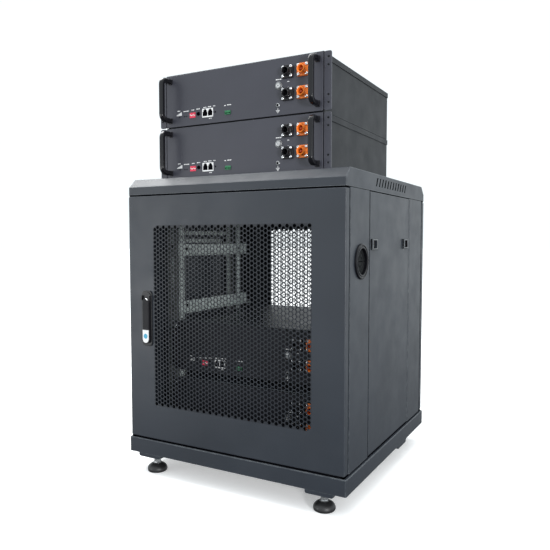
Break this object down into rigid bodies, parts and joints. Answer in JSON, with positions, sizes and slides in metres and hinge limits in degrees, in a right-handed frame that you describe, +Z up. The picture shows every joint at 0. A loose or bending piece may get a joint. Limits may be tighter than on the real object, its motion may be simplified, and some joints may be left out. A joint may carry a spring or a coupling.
{
  "type": "battery rack",
  "caption": "Floor-standing rack cabinet with perforated doors and lift-out side panels, holding rack battery modules, with more modules stacked on its roof.",
  "frame": {"origin": "on the floor, at the middle of the whole object's box", "axes": "+Z up, -Y towards the front doors and panels, +X to the right seen from the front"},
  "size_m": [0.606, 0.6149, 1.0226],
  "materials": {
    "cabinet_paint": "satin powder coat",
    "module_paint": "fine-texture powder coat",
    "galvanised": "zinc plated",
    "black_plastic": "moulded",
    "orange_plastic": "moulded",
    "white_plastic": "printed or moulded",
    "red_plastic": "moulded",
    "green_plastic": "moulded",
    "foot_rubber": "moulded",
    "bright_steel": "nickel plated",
    "cell_aluminium": "plain"
  },
  "bodies": {
    "cabinet": {"base_frame": "cabinet_paint", "top_cover": "cabinet_paint", "side_frame_left": "cabinet_paint", "side_frame_right": "cabinet_paint", "cable_port": "black_plastic", "rack_post_front_left": "galvanised", "rack_post_front_right": "galvanised", "rack_post_rear_left": "galvanised", "rack_post_rear_right": "galvanised", "support_rail_lower_left": "galvanised", "support_rail_lower_right": "galvanised", "support_rail_upper_left": "galvanised", "support_rail_upper_right": "galvanised", "module_3_case": "module_paint", "module_3_lid": "module_paint", "module_3_front_panel": "module_paint", "module_3_handle_left": "black_plastic", "module_3_handle_right": "black_plastic", "module_3_terminals": "black_plastic", "module_3_cell_pack": "cell_aluminium", "module_4_case": "module_paint", "module_4_lid": "module_paint", "module_4_front_panel": "module_paint", "module_4_handle_left": "black_plastic", "module_4_handle_right": "black_plastic", "module_4_terminals": "black_plastic", "module_4_cell_pack": "cell_aluminium"},
    "foot_front_left": {"foot_front_left": "foot_rubber"},
    "foot_front_right": {"foot_front_right": "foot_rubber"},
    "foot_rear_left": {"foot_rear_left": "foot_rubber"},
    "foot_rear_right": {"foot_rear_right": "foot_rubber"},
    "front_door": {"front_door": "cabinet_paint", "lock_housing": "black_plastic"},
    "lock_cam": {"lock_cam": "black_plastic"},
    "lock_lever": {"lock_lever": "black_plastic"},
    "rear_door": {"rear_door": "cabinet_paint"},
    "side_panel_left": {"side_panel_left": "cabinet_paint"},
    "side_latch_left_front": {"side_latch_left_front": "black_plastic"},
    "side_latch_left_rear": {"side_latch_left_rear": "black_plastic"},
    "side_panel_right": {"side_panel_right": "cabinet_paint"},
    "side_latch_right_front": {"side_latch_right_front": "black_plastic"},
    "side_latch_right_rear": {"side_latch_right_rear": "black_plastic"},
    "module_1": {"module_1_case": "module_paint", "module_1_lid": "module_paint", "module_1_front_panel": "module_paint", "module_1_handle_left": "black_plastic", "module_1_handle_right": "black_plastic", "module_1_terminals": "black_plastic", "module_1_cell_pack": "cell_aluminium"},
    "module_2": {"module_2_case": "module_paint", "module_2_lid": "module_paint", "module_2_front_panel": "module_paint", "module_2_handle_left": "black_plastic", "module_2_handle_right": "black_plastic", "module_2_terminals": "black_plastic", "module_2_cell_pack": "cell_aluminium"},
    "power_button_1": {"module_1_power_button": "bright_steel"},
    "power_button_2": {"module_2_power_button": "bright_steel"},
    "power_button_3": {"module_3_power_button": "bright_steel"},
    "power_button_4": {"module_4_power_button": "bright_steel"}
  },
  "joints": [
    {"name": "foot_front_left_turn", "type": "hinge", "parent": "cabinet", "child": "foot_front_left", "pos_m": [-0.2385, -0.2635, 0], "axis": [0, 0, 1], "continuous": true},
    {"name": "foot_front_right_turn", "type": "hinge", "parent": "cabinet", "child": "foot_front_right", "pos_m": [0.2385, -0.2635, 0], "axis": [0, 0, 1], "continuous": true},
    {"name": "foot_rear_left_turn", "type": "hinge", "parent": "cabinet", "child": "foot_rear_left", "pos_m": [-0.2385, 0.2795, 0], "axis": [0, 0, 1], "continuous": true},
    {"name": "foot_rear_right_turn", "type": "hinge", "parent": "cabinet", "child": "foot_rear_right", "pos_m": [0.2385, 0.2795, 0], "axis": [0, 0, 1], "continuous": true},
    {"name": "front_door_swing", "type": "hinge", "parent": "cabinet", "child": "front_door", "pos_m": [0.29, -0.286, 0.4], "axis": [0, 0, 1], "range_deg": [0, 120]},
    {"name": "rear_door_swing", "type": "hinge", "parent": "cabinet", "child": "rear_door", "pos_m": [-0.29, 0.302, 0.4], "axis": [0, 0, 1], "range_deg": [0, 120]},
    {"name": "lock_turn", "type": "hinge", "parent": "front_door", "child": "lock_cam", "pos_m": [-0.2392, -0.2986, 0.455], "axis": [0, -1, 0], "range_deg": [0, 90]},
    {"name": "lock_lever_lift", "type": "hinge", "parent": "lock_cam", "child": "lock_lever", "pos_m": [-0.2392, -0.3014, 0.455], "axis": [-1, 0, 0], "range_deg": [0, 35]},
    {"name": "side_panel_left_lift_out", "type": "slide", "parent": "cabinet", "child": "side_panel_left", "axis": [-1, 0, 0], "range_m": [0, 0.12]},
    {"name": "side_latch_left_front_slide", "type": "slide", "parent": "side_panel_left", "child": "side_latch_left_front", "axis": [0, 1, 0], "range_m": [0, 0.009], "stiffness_N_per_m": 120},
    {"name": "side_latch_left_rear_slide", "type": "slide", "parent": "side_panel_left", "child": "side_latch_left_rear", "axis": [0, -1, 0], "range_m": [0, 0.009], "stiffness_N_per_m": 120},
    {"name": "side_panel_right_lift_out", "type": "slide", "parent": "cabinet", "child": "side_panel_right", "axis": [1, 0, 0], "range_m": [0, 0.12]},
    {"name": "side_latch_right_front_slide", "type": "slide", "parent": "side_panel_right", "child": "side_latch_right_front", "axis": [0, 1, 0], "range_m": [0, 0.009], "stiffness_N_per_m": 120},
    {"name": "side_latch_right_rear_slide", "type": "slide", "parent": "side_panel_right", "child": "side_latch_right_rear", "axis": [0, -1, 0], "range_m": [0, 0.009], "stiffness_N_per_m": 120},
    {"name": "module_2_lift_off", "type": "slide", "parent": "cabinet", "child": "module_2", "axis": [0, 0, 1], "range_m": [0, 0.15]},
    {"name": "module_1_lift_off", "type": "slide", "parent": "module_2", "child": "module_1", "axis": [0, 0, 1], "range_m": [0, 0.15]},
    {"name": "power_button_1_press", "type": "slide", "parent": "module_1", "child": "power_button_1", "axis": [0, 1, 0], "range_m": [0, 0.0025], "stiffness_N_per_m": 400},
    {"name": "power_button_2_press", "type": "slide", "parent": "module_2", "child": "power_button_2", "axis": [0, 1, 0], "range_m": [0, 0.0025], "stiffness_N_per_m": 400},
    {"name": "power_button_3_press", "type": "slide", "parent": "cabinet", "child": "power_button_3", "axis": [0, 1, 0], "range_m": [0, 0.0025], "stiffness_N_per_m": 400},
    {"name": "power_button_4_press", "type": "slide", "parent": "cabinet", "child": "power_button_4", "axis": [0, 1, 0], "range_m": [0, 0.0025], "stiffness_N_per_m": 400}
  ]
}
